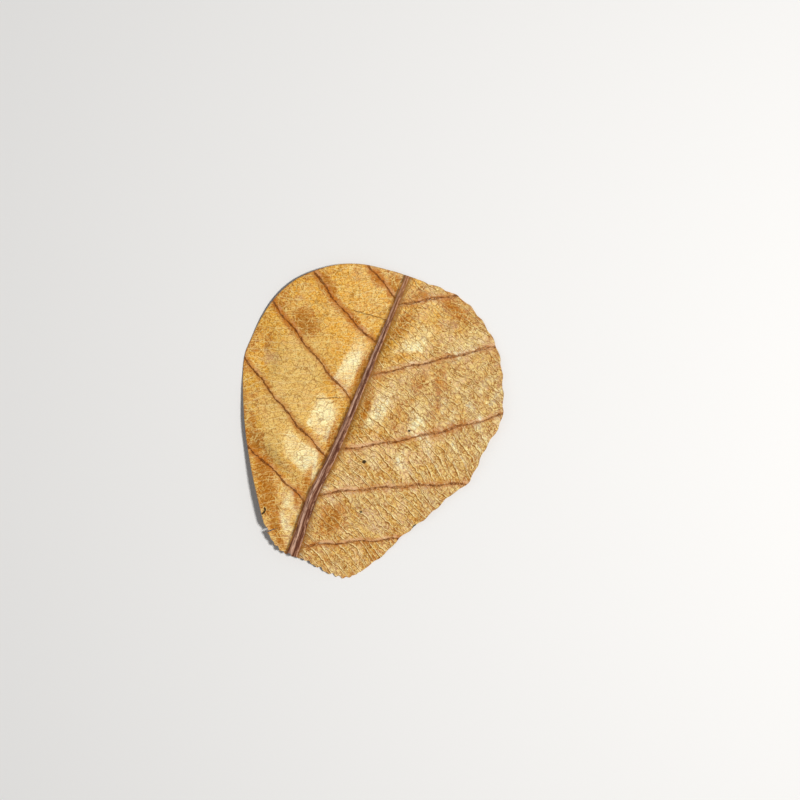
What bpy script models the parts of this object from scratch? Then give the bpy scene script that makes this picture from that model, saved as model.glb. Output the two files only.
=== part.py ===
"""A dried Indian almond leaf (Terminalia catappa), trimmed to an oval, as one closed solid.

The leaf lies on its underside. +Y runs along the midrib to the cut tip, +X to the leaf's wider
half and +Z up. The origin is under the middle of its outline, on the surface that it lies on.
Lengths are in millimetres and angles in degrees until the last step makes the mesh in metres.
"""

import bmesh
import bpy
import numpy as np
from mathutils import Vector
from mathutils.geometry import delaunay_2d_cdt

# Driving dimensions
LEAF_LENGTH = 102.0
LEAF_WIDTH = 87.0
BLADE_THICKNESS = 0.7
METRES = 0.001

# Outline clockwise from the tip, as shares of half the width and half the length
OUTLINE = [
    (-0.09, 0.985), (0.225, 1.0), (0.43, 0.97), (0.65, 0.86), (0.80, 0.735), (0.915, 0.555),
    (1.0, 0.35), (0.97, 0.14), (0.95, -0.10), (0.865, -0.22), (0.765, -0.405), (0.63, -0.61),
    (0.56, -0.755), (0.40, -0.96), (0.27, -1.0), (0.03, -0.975), (-0.17, -0.975), (-0.305, -0.90),
    (-0.45, -0.755), (-0.735, -0.395), (-0.97, 0.02), (-1.0, 0.235), (-0.96, 0.495),
    (-0.845, 0.695), (-0.645, 0.855), (-0.44, 0.94), (-0.21, 0.975),
]
CURVE_STEPS = 24
EDGE_SPACING = 2.0

# The right edge is slightly wavy, and the base is torn across in small teeth
EDGE_WAVE = 0.25
EDGE_WAVE_LENGTH = 6.4
TORN_BELOW_Y = -44.5
TOOTH_SPACING = 1.15
TOOTH_DEPTH = 0.9
TOOTH_SEED = 7

# A short slit runs in from the left edge just above the torn base
SLIT_MOUTH = (-14.2, -45.4)
SLIT_END = (-10.8, -42.4)
SLIT_WIDTH = 0.6

# The midrib is a little left of the middle, sways near the base and thins towards the tip
RIB_X = -3.5
RIB_SWAY = 1.3
RIB_SWAY_Y = -30.0
RIB_SWAY_REACH = 13.0
RIB_HALF_WIDTH_BASE = 1.7
RIB_HALF_WIDTH_TIP = 0.6
RIB_RISE_BASE = 0.75
RIB_RISE_TIP = 0.35
RIB_DEPTH_BASE = 1.1
RIB_DEPTH_TIP = 0.5
RIB_SHARPNESS = 1.3
RIB_FURROW = 0.3
RIB_FURROW_REACH = 0.22
RIB_LINES = (-1.0, -0.55, 0.0, 0.55, 1.0)
RIB_STEP = 1.9

# Side veins from base to tip: where each leaves the midrib's line, its slope and its bend.
# The first and the last of each side lie past the leaf and only close its end panels.
LEFT_VEINS = [(-54.0, 0.42, 0.0), (-33.1, 0.50, -0.0038), (-16.1, 0.463, 0.0015),
              (4.6, 0.495, 0.0014), (25.2, 0.317, 0.0065), (41.4, 0.535, 0.0), (58.0, 0.55, 0.0)]
RIGHT_VEINS = [(-64.0, 0.46, 0.0), (-46.4, 0.498, 0.0), (-27.8, 0.565, -0.0016),
               (-12.0, 0.547, 0.003), (14.1, 0.704, 0.0004), (39.5, 0.67, -0.0021),
               (62.0, 0.66, 0.0)]
VEIN_WAVE = 0.28
VEIN_WAVE_LENGTH = 11.0
VEIN_HALF_WIDTH = 0.7
VEIN_RISE = 0.5
VEIN_DEPTH = 0.5
VEIN_STEP = 2.0
VEIN_END_GAP = 1.0
VEIN_START_GAP = 0.4

# Net of rungs between the side veins, with links between the rungs, coarser than life.
# The slant is how far out a rung comes for each millimetre that it drops towards the base.
RUNG_SLANT = 1.05
RUNG_SPACING = 3.2
LINK_SPACING = 3.2
NET_RISE = 0.35
NET_FADE = 1.2
NET_CLEARANCE = 0.8

# Form of the blade: height of its edge by direction, counted from +X towards +Y
EDGE_HEIGHTS = [(-150, 2.6), (-112, 4.6), (-68, 0.0), (-25, 1.6), (15, 2.6), (74, 0.0),
                (128, 2.2), (172, 0.0)]
MIDDLE_HEIGHT = 3.0
DOME_POWER = 2.0
PANEL_BULGE = 0.35
PANEL_BULGE_START = 3.5

# The blade banks up to the midrib, over a shorter way on its left
RIB_BANK = 0.9
RIB_BANK_REACH_LEFT = 3.2
RIB_BANK_REACH_RIGHT = 14.0

# Ridges of the blade. Each has a steep flank on its right and a long gentle back, starts over
# a short way at its lower end, fades over a long way to its upper one, and its ends slant like
# the side veins: middle of the flank, half its length, width, the turn of the flank and height
RIDGES = [
    (-9.3, 15.6, 14.5, 7.2, 83, 2.2),
    (-11.8, -1.7, 13.5, 8.5, 91, 2.8),
    (-15.0, -15.0, 12.0, 12.5, 98, 4.0),
    (-10.6, -38.0, 8.0, 4.0, 110, 1.3),
    (6.6, 33.0, 12.0, 7.5, 75, 1.8),
    (3.9, 5.0, 12.0, 5.2, 92, 1.6),
    (17.3, 6.0, 8.0, 5.5, 110, 1.3),
    (22.5, 38.0, 9.0, 8.0, 80, 0.9),
    (18.0, -7.0, 7.0, 5.5, 100, 0.5),
]
RIDGE_BACK = 2.4
RIDGE_ROUNDING = 0.12
RIDGE_START = 0.5
RIDGE_FADE_END = 1.2
RIDGE_FADE = 1.8
RIDGE_END_LEAN = 0.35

# Crumple of the dried blade: waves of these lengths and heights in drawn directions
CRUMPLE_WAVES = ((9.0, 0.1), (6.0, 0.08))
CRUMPLE_DIRECTIONS = 4
CRUMPLE_SEED = 11
CRUMPLE_LEAST = 0.2
CRUMPLE_TURN = -35.0
CRUMPLE_REACH = 35.0

# Three low spots that the leaf rests on, each flat out to a radius and blended in past it
FEET = [(-41.4, 7.0), (17.4, -46.2), (13.8, 48.6)]
FOOT_RADIUS = 2.8
FOOT_BLEND = 9.0

LEAF_COLOUR = (0.55, 0.31, 0.075)
LEAF_ROUGHNESS = 0.5


def clear_scene():
    for thing in list(bpy.data.objects):
        bpy.data.objects.remove(thing, do_unlink=True)


def smooth_step(share):
    """0 below 0, 1 above 1 and a smooth rise between."""
    share = np.clip(share, 0.0, 1.0)
    return share * share * (3.0 - 2.0 * share)


def outline_curve():
    """Points close together on a smooth closed curve through OUTLINE."""
    points = np.array(OUTLINE) * (LEAF_WIDTH / 2, LEAF_LENGTH / 2)
    before, after = np.roll(points, 1, axis=0), np.roll(points, -1, axis=0)
    beyond = np.roll(points, -2, axis=0)
    steps = []
    for t in np.arange(CURVE_STEPS) / CURVE_STEPS:
        bend = 2 * before - 5 * points + 4 * after - beyond
        twist = 3 * points - before - 3 * after + beyond
        steps.append(0.5 * (2 * points + (after - before) * t + bend * t**2 + twist * t**3))
    return np.stack(steps, axis=1).reshape(-1, 2)


def edge_reach(x, y):
    """How far out each point lies: 0 at the origin and 1 at the outline."""
    curve = outline_curve()
    angles = np.arctan2(curve[:, 1], curve[:, 0])
    order = np.argsort(angles)
    radii = np.hypot(curve[:, 0], curve[:, 1])
    edge = np.interp(np.arctan2(y, x), angles[order], radii[order], period=2 * np.pi)
    return np.hypot(x, y) / edge


def edge_loop():
    """The leaf's edge as points in order, with its waves, torn teeth and slit."""
    curve = outline_curve()
    closed = np.vstack([curve, curve[:1]])
    arcs = np.concatenate([[0.0], np.cumsum(np.hypot(*np.diff(closed, axis=0).T))])
    stations = [0.0]
    while stations[-1] < arcs[-1]:
        torn = np.interp(stations[-1], arcs, closed[:, 1]) < TORN_BELOW_Y
        stations.append(stations[-1] + (TOOTH_SPACING if torn else EDGE_SPACING))
    stations = np.array(stations[:-1]) * arcs[-1] / stations[-1]
    x = np.interp(stations, arcs, closed[:, 0])
    y = np.interp(stations, arcs, closed[:, 1])
    inward = np.stack([-x, -y], axis=1) / np.hypot(x, y)[:, None]
    wave = EDGE_WAVE * (1 + np.sin(2 * np.pi * stations / EDGE_WAVE_LENGTH)) * (x > 0)
    chance = np.random.default_rng(TOOTH_SEED)
    teeth = TOOTH_DEPTH * chance.uniform(0.0, 1.0, len(x)) * (np.arange(len(x)) % 2)
    inset = np.where(y < TORN_BELOW_Y, teeth, wave)
    loop = np.stack([x, y], axis=1) + inward * inset[:, None]
    return cut_slit(loop)


def cut_slit(loop):
    """Puts the slit's two lips and its end into the edge in place of the points at its mouth."""
    mouth, end = np.array(SLIT_MOUTH), np.array(SLIT_END)
    near = np.hypot(*(loop - mouth).T) < TOOTH_SPACING
    first = int(np.argmax(near))
    along = (end - mouth) / np.hypot(*(end - mouth))
    lip = np.array([-along[1], along[0]]) * SLIT_WIDTH / 2
    lips = [mouth - lip, end, mouth + lip]
    return np.vstack([loop[:first][~near[:first]], lips, loop[first:][~near[first:]]])


def rib_centre(y):
    """Sideways place of the midrib."""
    return RIB_X - RIB_SWAY * np.exp(-(((y - RIB_SWAY_Y) / RIB_SWAY_REACH) ** 2))


def from_base_to_tip(y, at_base, at_tip):
    share = np.clip(0.5 + y / LEAF_LENGTH, 0.0, 1.0)
    return at_base + (at_tip - at_base) * share


def rib_share(x, y):
    """Distance from the midrib's middle in half widths of the midrib, negative to its left."""
    half = from_base_to_tip(y, RIB_HALF_WIDTH_BASE, RIB_HALF_WIDTH_TIP)
    return (x - rib_centre(y)) / half


def rib_gap(x, y):
    """Distance from the midrib's foot, negative on the midrib."""
    half = from_base_to_tip(y, RIB_HALF_WIDTH_BASE, RIB_HALF_WIDTH_TIP)
    return (np.abs(rib_share(x, y)) - 1) * half


def vein_y(vein, out):
    """Height along the leaf of a side vein, at a distance out from the midrib's line."""
    start, slope, bend = vein
    wave = VEIN_WAVE * np.sin(2 * np.pi * out / VEIN_WAVE_LENGTH + start)
    return start + slope * out + bend * out**2 + wave


def panel_place(x, y):
    """Which side, how far out, and how many side veins up each point lies, in parts of a panel."""
    out = np.abs(x - RIB_X)
    panel = np.zeros_like(out)
    for side, veins in ((-1, LEFT_VEINS), (1, RIGHT_VEINS)):
        here = (x > RIB_X) == (side > 0)
        for number in range(len(veins) - 1):
            low, high = vein_y(veins[number], out), vein_y(veins[number + 1], out)
            inside = here & (y >= low) & (y < high)
            panel = np.where(inside, number + (y - low) / (high - low), panel)
    return out, panel


def vein_distance(x, y):
    """Distance to the nearest side vein."""
    out = np.abs(x - RIB_X)
    nearest = np.full_like(out, LEAF_LENGTH)
    for side, veins in ((-1, LEFT_VEINS), (1, RIGHT_VEINS)):
        here = (x > RIB_X) == (side > 0)
        for vein in veins[1:-1]:
            lean = np.hypot(1.0, vein[1] + 2 * vein[2] * out)
            gap = np.abs(y - vein_y(vein, out)) / lean
            nearest = np.where(here, np.minimum(nearest, gap), nearest)
    return nearest


def edge_height(x, y):
    """Height of the edge in each point's direction from the origin."""
    directions = np.array([direction for direction, _ in EDGE_HEIGHTS], dtype=float)
    heights = np.array([height for _, height in EDGE_HEIGHTS])
    turned = np.degrees(np.arctan2(y, x))
    turned = np.where(turned < directions[0], turned + 360, turned)
    after = np.searchsorted(directions, turned, side="right") % len(directions)
    before = after - 1
    span = (directions[after] - directions[before]) % 360
    share = smooth_step((turned - directions[before]) / span)
    return heights[before] + (heights[after] - heights[before]) * share


def foot_share(x, y):
    """1 on the spots that the leaf rests on, falling to 0 round them."""
    flat = np.zeros_like(x)
    for foot_x, foot_y in FEET:
        gap = np.hypot(x - foot_x, y - foot_y)
        flat = np.maximum(flat, 1 - smooth_step((gap - FOOT_RADIUS) / FOOT_BLEND))
    return flat


def ridges(x, y):
    """Height that the ridges add: an even steep flank, an even gentle back and faded ends."""
    height = np.zeros_like(x)
    for middle_x, middle_y, length, width, turn, rise in RIDGES:
        cosine, sine = np.cos(np.radians(turn)), np.sin(np.radians(turn))
        run = y - middle_y - RIDGE_END_LEAN * (np.abs(x - RIB_X) - np.abs(middle_x - RIB_X))
        side = (x - middle_x) * sine - (y - middle_y) * cosine
        down = side / width + 0.5
        flank = np.sqrt(np.clip(down, 0.0, None) ** 2 + RIDGE_ROUNDING**2)
        back = np.clip(-down, 0.0, None) / RIDGE_BACK
        tent = 1 + RIDGE_ROUNDING - flank - back
        tent = (tent + np.sqrt(tent**2 + RIDGE_ROUNDING**2)) / 2
        tent *= smooth_step((1 + run / length) / RIDGE_START)
        tent *= smooth_step((RIDGE_FADE_END - run / length) / RIDGE_FADE)
        height += rise * tent * ((x > RIB_X) == (middle_x > RIB_X))
    return height


def blade_height(x, y):
    """Height of the blade without its ribs: a dome, its ridges and a bulge in each panel."""
    out, panel = panel_place(x, y)
    dome = np.clip(edge_reach(x, y), 0.0, 1.0) ** DOME_POWER
    height = MIDDLE_HEIGHT * (1 - dome) + edge_height(x, y) * dome
    off_rib = 1 - np.exp(-((out / PANEL_BULGE_START) ** 2))
    across = panel % 1.0
    height += PANEL_BULGE * 4 * across * (1 - across) * (1 - 0.6 * dome) * off_rib
    height += ridges(x, y) * (1 - dome**2) * off_rib
    bank = np.where(x < RIB_X, RIB_BANK_REACH_LEFT, RIB_BANK_REACH_RIGHT)
    height += RIB_BANK * np.exp(-((out / bank) ** 2)) * (1 - dome)
    return np.maximum(np.maximum(height, 0.0) + crumple(x, y), 0.0) * (1 - foot_share(x, y))


def crumple(x, y):
    """Small irregular waves of the dried blade, stronger towards the right of its base."""
    turn = np.radians(CRUMPLE_TURN)
    place = (x * np.cos(turn) + y * np.sin(turn)) / CRUMPLE_REACH
    strength = CRUMPLE_LEAST + (1 - CRUMPLE_LEAST) * smooth_step(place + 0.5)
    chance = np.random.default_rng(CRUMPLE_SEED)
    height = np.zeros_like(x)
    for length, rise in CRUMPLE_WAVES:
        for turn, shift in chance.uniform(0.0, 2 * np.pi, (CRUMPLE_DIRECTIONS, 2)):
            run = x * np.cos(turn) + y * np.sin(turn)
            height += rise / CRUMPLE_DIRECTIONS * np.sin(2 * np.pi * run / length + shift)
    return height * strength


def rib_profile(x, y):
    """1 on the midrib's two crests, lower in the furrow between them and 0 at its feet."""
    share = rib_share(x, y)
    furrow = RIB_FURROW * np.exp(-((share / RIB_FURROW_REACH) ** 2))
    return np.clip(1 - share**2, 0.0, 1.0) ** RIB_SHARPNESS * (1 - furrow)


def vein_profile(x, y):
    """1 on a side vein's crest and 0 at its feet."""
    on_blade = np.abs(rib_share(x, y)) > 1
    return np.clip(1 - vein_distance(x, y) / VEIN_HALF_WIDTH, 0.0, 1.0) * on_blade


def ridge(place):
    """A ridge at each whole number: 1 on its crest and 0 half way between two."""
    return np.abs(1 - 2 * (place % 1.0))


def links_in_panel(low_vein, high_vein):
    """How many half link spacings fit between two side veins."""
    return int(2 * (high_vein[0] - low_vein[0]) / LINK_SPACING)


def net_profile(x, y):
    """1 on the net of rungs and links and 0 in its cells."""
    out, panel = panel_place(x, y)
    number = panel.astype(int)
    start = np.zeros_like(x)
    count = np.zeros_like(x)
    for side, veins in ((-1, LEFT_VEINS), (1, RIGHT_VEINS)):
        here = (x > RIB_X) == (side > 0)
        pairs = list(zip(veins, veins[1:]))
        starts = np.array([low[0] for low, _ in pairs])[number]
        spans = np.array([high[0] - low[0] for low, high in pairs])[number]
        start = np.where(here, starts + spans * (panel - number), start)
        count = np.where(here, np.array([links_in_panel(*pair) for pair in pairs])[number], count)
    rung_place = (out + RUNG_SLANT * start) / RUNG_SPACING
    link_place = ((panel - number) * count - 0.5) / 2 + np.floor(rung_place) / 2
    return np.maximum(ridge(rung_place), ridge(link_place))


def top_relief(x, y):
    rise = from_base_to_tip(y, RIB_RISE_BASE, RIB_RISE_TIP)
    clear = np.minimum(vein_distance(x, y) - VEIN_HALF_WIDTH, rib_gap(x, y))
    net = NET_RISE * net_profile(x, y) * np.clip(clear / NET_FADE, 0.0, 1.0)
    return rise * rib_profile(x, y) + VEIN_RISE * vein_profile(x, y) + net


def under_relief(x, y):
    depth = from_base_to_tip(y, RIB_DEPTH_BASE, RIB_DEPTH_TIP)
    rib = depth * np.sqrt(np.clip(1 - rib_share(x, y) ** 2, 0.0, 1.0))
    return np.maximum(rib, VEIN_DEPTH * vein_profile(x, y))


def leaf_heights(points):
    """Heights of the upper and the lower face over each point of the outline's plane."""
    x, y = points[:, 0], points[:, 1]
    under = np.maximum(blade_height(x, y) - under_relief(x, y), 0.0)
    top = np.maximum(blade_height(x, y), under) + BLADE_THICKNESS + top_relief(x, y)
    return top, under


def rib_lines():
    """Lines along the midrib's feet, crests and furrow."""
    ends = LEAF_LENGTH / 2 - VEIN_END_GAP
    y = np.linspace(-ends, ends, int(2 * ends / RIB_STEP))
    half = from_base_to_tip(y, RIB_HALF_WIDTH_BASE, RIB_HALF_WIDTH_TIP)
    return [np.stack([rib_centre(y) + share * half, y], axis=1) for share in RIB_LINES]


def vein_lines():
    """Lines along each side vein's crest and its two feet."""
    lines = []
    out = np.arange(RIB_HALF_WIDTH_BASE, LEAF_WIDTH, VEIN_STEP)
    for side, veins in ((-1, LEFT_VEINS), (1, RIGHT_VEINS)):
        for vein in veins[1:-1]:
            for offset in (-VEIN_HALF_WIDTH, 0.0, VEIN_HALF_WIDTH):
                y = vein_y(vein, out) + offset * np.hypot(1.0, vein[1])
                line = np.stack([RIB_X + side * out, y], axis=1)
                lines.append(line[rib_gap(*line.T) > VEIN_START_GAP])
    return lines


def net_points():
    """Points on the rungs and half way between them, row by row in each panel."""
    step = RUNG_SPACING / 2
    points = []
    for side, veins in ((-1, LEFT_VEINS), (1, RIGHT_VEINS)):
        for number in range(len(veins) - 1):
            count = links_in_panel(veins[number], veins[number + 1])
            share = (np.arange(count) + 0.5) / count
            low_start, high_start = veins[number][0], veins[number + 1][0]
            slant = RUNG_SLANT * (low_start + (high_start - low_start) * share)
            first = slant.min() // step * step
            for place in np.arange(first, first + 2 * LEAF_WIDTH, step):
                out = place - slant
                low, high = vein_y(veins[number], out), vein_y(veins[number + 1], out)
                row = np.stack([RIB_X + side * out, low + (high - low) * share], axis=1)
                points.extend(row[out > 0])
    return np.array(points)


def clear_of_edge(points, loop, gap):
    """Which points lie inside the edge and clear of it by the gap."""
    start, end = loop, np.roll(loop, -1, axis=0)
    run = end - start
    away = points[:, None, :] - start[None]
    share = np.clip((away * run).sum(2) / (run * run).sum(1), 0.0, 1.0)
    distance = np.hypot(*np.moveaxis(away - share[..., None] * run, 2, 0)).min(axis=1)
    crosses = (start[:, 1] > points[:, None, 1]) != (end[:, 1] > points[:, None, 1])
    drop = np.where(run[:, 1] == 0, 1.0, run[:, 1])
    at = start[:, 0] + (points[:, None, 1] - start[:, 1]) * run[:, 0] / drop
    inside = (crosses & (points[:, None, 0] < at)).sum(axis=1) % 2 == 1
    return inside & (distance > gap)


def flat_mesh():
    """The leaf's plan: points and triangles that follow its edge, midrib, veins and net."""
    loop = edge_loop()
    verts = [Vector(point) for point in loop]
    edges = []
    for line in rib_lines() + vein_lines():
        kept = clear_of_edge(line, loop, VEIN_END_GAP)
        numbers = {}
        for place in np.flatnonzero(kept):
            numbers[place] = len(verts)
            verts.append(Vector(line[place]))
        edges += [(numbers[n], numbers[n + 1]) for n in numbers if n + 1 in numbers]
    points = net_points()
    kept = clear_of_edge(points, loop, NET_CLEARANCE)
    kept &= rib_gap(*points.T) > NET_CLEARANCE
    kept &= vein_distance(*points.T) > VEIN_HALF_WIDTH + NET_CLEARANCE / 2
    verts += [Vector(point) for point in points[kept]]
    plan, _, faces, _, _, _ = delaunay_2d_cdt(verts, edges, [list(range(len(loop)))], 1, 1e-4)
    return np.array([tuple(point) for point in plan]), faces


def leaf_solid():
    """Upper and lower face from the same triangles, joined by a wall round the edge."""
    plan, faces = flat_mesh()
    top, under = leaf_heights(plan)
    bm = bmesh.new()
    upper = [bm.verts.new((x, y, z)) for (x, y), z in zip(plan, top)]
    lower = [bm.verts.new((x, y, z)) for (x, y), z in zip(plan, under)]
    for face in faces:
        bm.faces.new([upper[n] for n in face])
        bm.faces.new([lower[n] for n in reversed(face)])
    steps = {(face[n - 1], face[n]) for face in faces for n in range(3)}
    for start, end in sorted(steps):
        if (end, start) not in steps:
            bm.faces.new([upper[end], upper[start], lower[start], lower[end]])
    bmesh.ops.triangulate(bm, faces=[face for face in bm.faces if len(face.verts) > 3])
    bmesh.ops.scale(bm, vec=(METRES, METRES, METRES), verts=bm.verts)
    mesh = bpy.data.meshes.new("leaf")
    bm.to_mesh(mesh)
    bm.free()
    mesh.shade_smooth()
    mesh.set_sharp_from_angle(angle=np.radians(30))
    return mesh


def dried_leaf_material():
    material = bpy.data.materials.new("dried_leaf")
    material.use_nodes = True
    shader = material.node_tree.nodes["Principled BSDF"]
    shader.inputs["Base Color"].default_value = (*LEAF_COLOUR, 1.0)
    shader.inputs["Roughness"].default_value = LEAF_ROUGHNESS
    shader.inputs["Metallic"].default_value = 0.0
    return material


def build_leaf():
    mesh = leaf_solid()
    mesh.materials.append(dried_leaf_material())
    leaf = bpy.data.objects.new("leaf", mesh)
    bpy.context.collection.objects.link(leaf)
    return leaf


clear_scene()
build_leaf()
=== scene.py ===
"""The dried Indian almond leaf, dressed: a fine mesh of the blade in place of the plain solid,
with its midrib, side veins and rungs as relief and the net, stains and gloss as a material.

Lengths are in millimetres and angles in degrees until a mesh is made in metres. Those of the
floor and the lamps are in metres from the start.
"""

import math

import bpy
import numpy as np
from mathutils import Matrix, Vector
from mathutils.geometry import delaunay_2d_cdt


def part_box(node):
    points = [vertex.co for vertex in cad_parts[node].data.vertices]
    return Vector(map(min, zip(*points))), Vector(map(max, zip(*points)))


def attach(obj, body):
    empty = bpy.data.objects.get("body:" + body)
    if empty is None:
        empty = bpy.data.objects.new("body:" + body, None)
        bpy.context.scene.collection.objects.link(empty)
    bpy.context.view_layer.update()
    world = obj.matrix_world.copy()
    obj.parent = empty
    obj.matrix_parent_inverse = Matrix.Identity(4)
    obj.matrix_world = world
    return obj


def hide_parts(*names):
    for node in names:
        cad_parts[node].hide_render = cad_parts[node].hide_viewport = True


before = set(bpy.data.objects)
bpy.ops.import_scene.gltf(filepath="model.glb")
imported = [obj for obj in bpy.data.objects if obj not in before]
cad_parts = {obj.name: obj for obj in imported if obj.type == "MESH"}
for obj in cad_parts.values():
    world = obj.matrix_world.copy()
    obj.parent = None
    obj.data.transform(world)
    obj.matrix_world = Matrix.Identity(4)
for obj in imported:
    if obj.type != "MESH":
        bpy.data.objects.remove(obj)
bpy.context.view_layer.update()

METRES = 0.001

# The leaf's width and length are those of its solid, to a whole millimetre
LOW, HIGH = (np.array(corner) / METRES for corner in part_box("leaf"))
LEAF_WIDTH, LEAF_LENGTH = np.round(HIGH - LOW)[:2]
BLADE_THICKNESS = 0.38

# Outline clockwise from the tip, as shares of half the width and half the length
OUTLINE = [
    (-0.09, 0.985), (0.225, 1.0), (0.43, 0.97), (0.65, 0.86), (0.80, 0.735), (0.915, 0.555),
    (1.0, 0.35), (0.97, 0.14), (0.95, -0.10), (0.865, -0.22), (0.765, -0.405), (0.63, -0.61),
    (0.56, -0.755), (0.40, -0.96), (0.27, -1.0), (0.03, -0.975), (-0.17, -0.975), (-0.305, -0.90),
    (-0.45, -0.755), (-0.735, -0.395), (-0.97, 0.02), (-1.0, 0.235), (-0.96, 0.495),
    (-0.845, 0.695), (-0.645, 0.855), (-0.44, 0.94), (-0.21, 0.975),
]
CURVE_STEPS = 24
LEAST_REACH = 0.01

# Waves of the cut edge, teeth of the torn base and the slit beside it
EDGE_SPACING = 2.0
EDGE_WAVE = 0.25
EDGE_WAVE_LENGTH = 6.4
TORN_BELOW_Y = -44.5
TOOTH_SPACING = 1.15
TOOTH_DEPTH = 0.9
TOOTH_SEED = 7
SLIT_MOUTH = (-14.2, -45.4)
SLIT_END = (-10.8, -42.4)
SLIT_WIDTH = 0.6

# Fineness of the edge, how ragged it is, and the spacing of points on the faces and their lines
EDGE_STEPS = 6
RAGGED_EDGE = 0.05
RAGGED_TEAR = 0.16
TOP_SPACING = 0.36
UNDER_SPACING = 0.64
LINE_SPACING = 0.4
LINE_GAP = 0.22
TRIANGLES_INSIDE = 1
SAME_POINT = 1e-4
MATCHED_DECIMALS = 3
SHARP_ANGLE = 70.0

# Midrib: its place, which sways near the base, its size and profile, and the lines that its mesh
# follows, in half widths. Pairs are for the base and the tip.
RIB_X = -3.5
RIB_SWAY = 1.3
RIB_SWAY_Y = -30.0
RIB_SWAY_REACH = 13.0
RIB_HALF_WIDTHS = (1.7, 0.6)
RIB_RISES = (0.75, 0.35)
RIB_DEPTHS = (1.1, 0.5)
RIB_SHARPNESS = 1.3
RIB_FURROW = 0.3
RIB_FURROW_REACH = 0.22
RIB_LINES = (-1.0, -0.8, -0.55, -0.3, 0.0, 0.3, 0.55, 0.8, 1.0)

# Side veins from base to tip: where each leaves the midrib's line, its slope and its bend.
# The first and the last of each half lie past the leaf and only close its end panels. Minor
# veins run straight from one point to another.
LEFT_VEINS = [(-54.0, 0.42, 0.0), (-33.1, 0.50, -0.0038), (-16.1, 0.463, 0.0015),
              (4.6, 0.495, 0.0014), (25.2, 0.317, 0.0065), (41.4, 0.535, 0.0), (58.0, 0.55, 0.0)]
RIGHT_VEINS = [(-64.0, 0.46, 0.0), (-46.4, 0.498, 0.0), (-27.8, 0.565, -0.0016),
               (-12.0, 0.547, 0.003), (14.1, 0.704, 0.0004), (39.5, 0.67, -0.0021),
               (62.0, 0.66, 0.0)]
VEINS_OF_HALVES = ((-1, LEFT_VEINS), (1, RIGHT_VEINS))
MINOR_VEINS = [((-5.2, 33.9), (-15.4, 32.8)), ((-5.6, 6.0), (-15.6, 1.3)),
               ((-1.6, -2.7), (2.9, -1.6))]
VEIN_WAVE = 0.28
VEIN_WAVE_LENGTH = 11.0
VEIN_HALF_WIDTH = 0.38
VEIN_RISE = 0.08
VEIN_DEPTH = 0.4
VEIN_THINNING = 0.5
VEIN_LINES = (-1.0, -0.5, 0.0, 0.5, 1.0)

# Rungs between the side veins, their height on the left and the right half, and the direction
# in which they run outwards. The slant is how far out a rung comes for each millimetre that it
# drops towards the base.
RUNG_SLANT = 1.05
RUNG_SPACING = 2.8
RUNG_HALF_WIDTH = 0.35
RUNG_HEIGHTS = (0.02, 0.05)
RUNG_SWAY = 0.35
RUNG_SWAY_LENGTHS = (7.0, 4.3)
GRAIN_TURN = -24.6

# Form of the blade: height of its edge by direction, counted from +X towards +Y, its dome, the
# bank that rises to the midrib on the left and the right, and the bulge of each panel
EDGE_HEIGHTS = [(-150, 2.6), (-112, 4.6), (-68, 0.0), (-25, 1.6), (15, 2.6), (74, 0.0),
                (128, 2.2), (172, 0.0)]
MIDDLE_HEIGHT = 3.0
DOME_POWER = 2.0
RIB_BANK = 0.9
RIB_BANK_REACHES = (3.2, 14.0)
PANEL_BULGE = 0.35
PANEL_BULGE_START = 3.5
PANEL_BULGE_LOSS = 0.6

# Ridges of the blade. Each has a steep flank on its right and a long gentle back, starts over
# a short way at its lower end, fades over a long way to its upper one, and its ends slant like
# the side veins: middle of the flank, half its length, width, the turn of the flank and height
RIDGES = [
    (-9.3, 15.6, 14.5, 7.2, 83, 2.2),
    (-11.8, -1.7, 13.5, 8.5, 91, 2.8),
    (-15.0, -15.0, 12.0, 12.5, 98, 4.0),
    (-10.6, -38.0, 8.0, 4.0, 110, 1.3),
    (6.6, 33.0, 12.0, 7.5, 75, 1.8),
    (3.9, 5.0, 12.0, 5.2, 92, 1.6),
    (17.3, 6.0, 8.0, 5.5, 110, 1.3),
    (22.5, 38.0, 9.0, 8.0, 80, 0.9),
    (18.0, -7.0, 7.0, 5.5, 100, 0.5),
]
RIDGE_BACK = 2.4
RIDGE_ROUNDING = 0.12
RIDGE_START = 0.5
RIDGE_FADE_END = 1.2
RIDGE_FADE = 1.8
RIDGE_END_LEAN = 0.35

# Spots near the edge that the leaf rests on
FEET = [(-41.4, 7.0), (17.4, -46.2), (13.8, 48.6)]
FOOT_RADIUS = 2.8
FOOT_BLEND = 9.0

# Crumple of the dried blade: waves of these lengths and heights in drawn directions, stronger
# in the direction of the turn
CRUMPLE_WAVES = ((9.0, 0.1), (6.0, 0.08), (4.2, 0.05), (2.9, 0.02), (2.0, 0.01))
CRUMPLE_DIRECTIONS = 4
CRUMPLE_SEED = 11
CRUMPLE_LEAST = 0.2
CRUMPLE_TURN = -35.0
CRUMPLE_REACH = 35.0

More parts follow.
